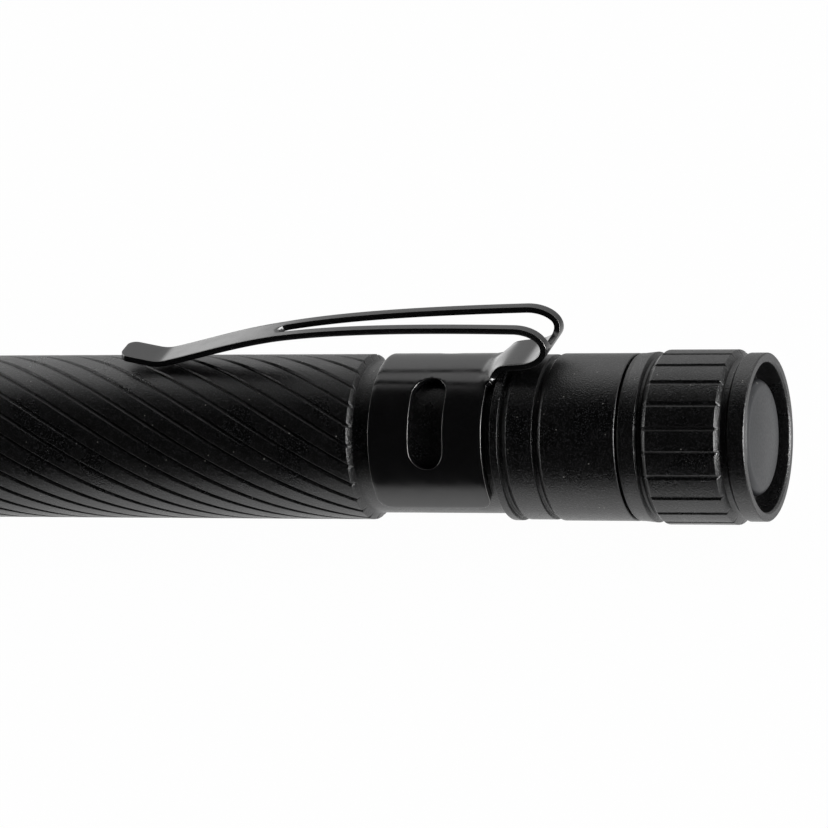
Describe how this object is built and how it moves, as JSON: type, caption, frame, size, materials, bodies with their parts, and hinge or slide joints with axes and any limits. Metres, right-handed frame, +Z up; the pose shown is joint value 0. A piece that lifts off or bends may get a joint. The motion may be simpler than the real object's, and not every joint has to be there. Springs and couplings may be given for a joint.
{
  "type": "flashlight",
  "caption": "Slim pen-shaped flashlight with a spiral-grooved barrel, a swivelling pocket clip, a screw-off tail cap and a recessed rubber push button in the tail.",
  "frame": {"origin": "on the surface the light lies on, midway along its length and under its axis", "axes": "+X along the axis towards the tail button, +Z up through the pocket clip, +Y across"},
  "size_m": [0.1262, 0.016, 0.019],
  "materials": {
    "anodised": "black bead-blasted anodised",
    "clip_steel": "black coated, semi-gloss",
    "boot_rubber": "matte, slightly dusty",
    "black_rubber": "matte",
    "lens_glass": "coated clear",
    "reflector_coat": "smooth vapour coat",
    "phosphor": "clear dome over yellow phosphor",
    "white_plastic": "moulded",
    "dark_plastic": "moulded",
    "board_white": "white solder mask on aluminium",
    "board_green": "green solder mask",
    "brass": "turned",
    "spring_steel": "bright wire",
    "lead_red": "insulated lead",
    "lead_black": "insulated lead",
    "cell": "plain sleeve over a metal can"
  },
  "bodies": {
    "barrel": {"battery_tube": "anodised", "head_housing": "anodised", "head_seal": "black_rubber", "bezel": "anodised", "lens": "lens_glass", "lens_gasket": "black_rubber", "reflector": "reflector_coat", "led_centring_ring": "white_plastic", "led_emitter": "phosphor", "led_board": "board_white", "led_pill": "brass", "led_lead_positive": "lead_red", "led_lead_negative": "lead_black", "driver_board": "board_green", "driver_chip": "dark_plastic", "driver_inductor": "dark_plastic", "positive_contact": "brass", "battery_rear": "cell", "battery_front": "cell"},
    "clip": {"pocket_clip": "clip_steel"},
    "seal_ring": {"tail_seal": "black_rubber"},
    "cap": {"tailcap": "anodised", "switch_retainer": "brass", "switch_body": "dark_plastic", "switch_board": "board_green", "tail_spring": "spring_steel"},
    "button": {"switch_plunger": "white_plastic", "switch_boot": "boot_rubber", "plunger_spring": "spring_steel"}
  },
  "joints": [
    {"name": "clip_swivel", "type": "hinge", "parent": "barrel", "child": "clip", "pos_m": [0.0346, 0, 0.00748], "axis": [1, 0, 0], "continuous": true},
    {"name": "tailcap_travel", "type": "slide", "parent": "barrel", "child": "seal_ring", "axis": [1, 0, 0], "range_m": [0, 0.0048]},
    {"name": "tailcap_turn", "type": "hinge", "parent": "seal_ring", "child": "cap", "pos_m": [0.0573, 0, 0.00748], "axis": [1, 0, 0], "range_deg": [0, 2160]},
    {"name": "switch_press", "type": "slide", "parent": "cap", "child": "button", "axis": [-1, 0, 0], "range_m": [0, 0.0015], "stiffness_N_per_m": 1200, "springref_m": -0.0008, "deforming": ["switch_boot", "plunger_spring"]}
  ],
  "couplings": [
    {"joint": "tailcap_travel", "follows": "tailcap_turn", "m_per_rad": 0.00012732}
  ]
}
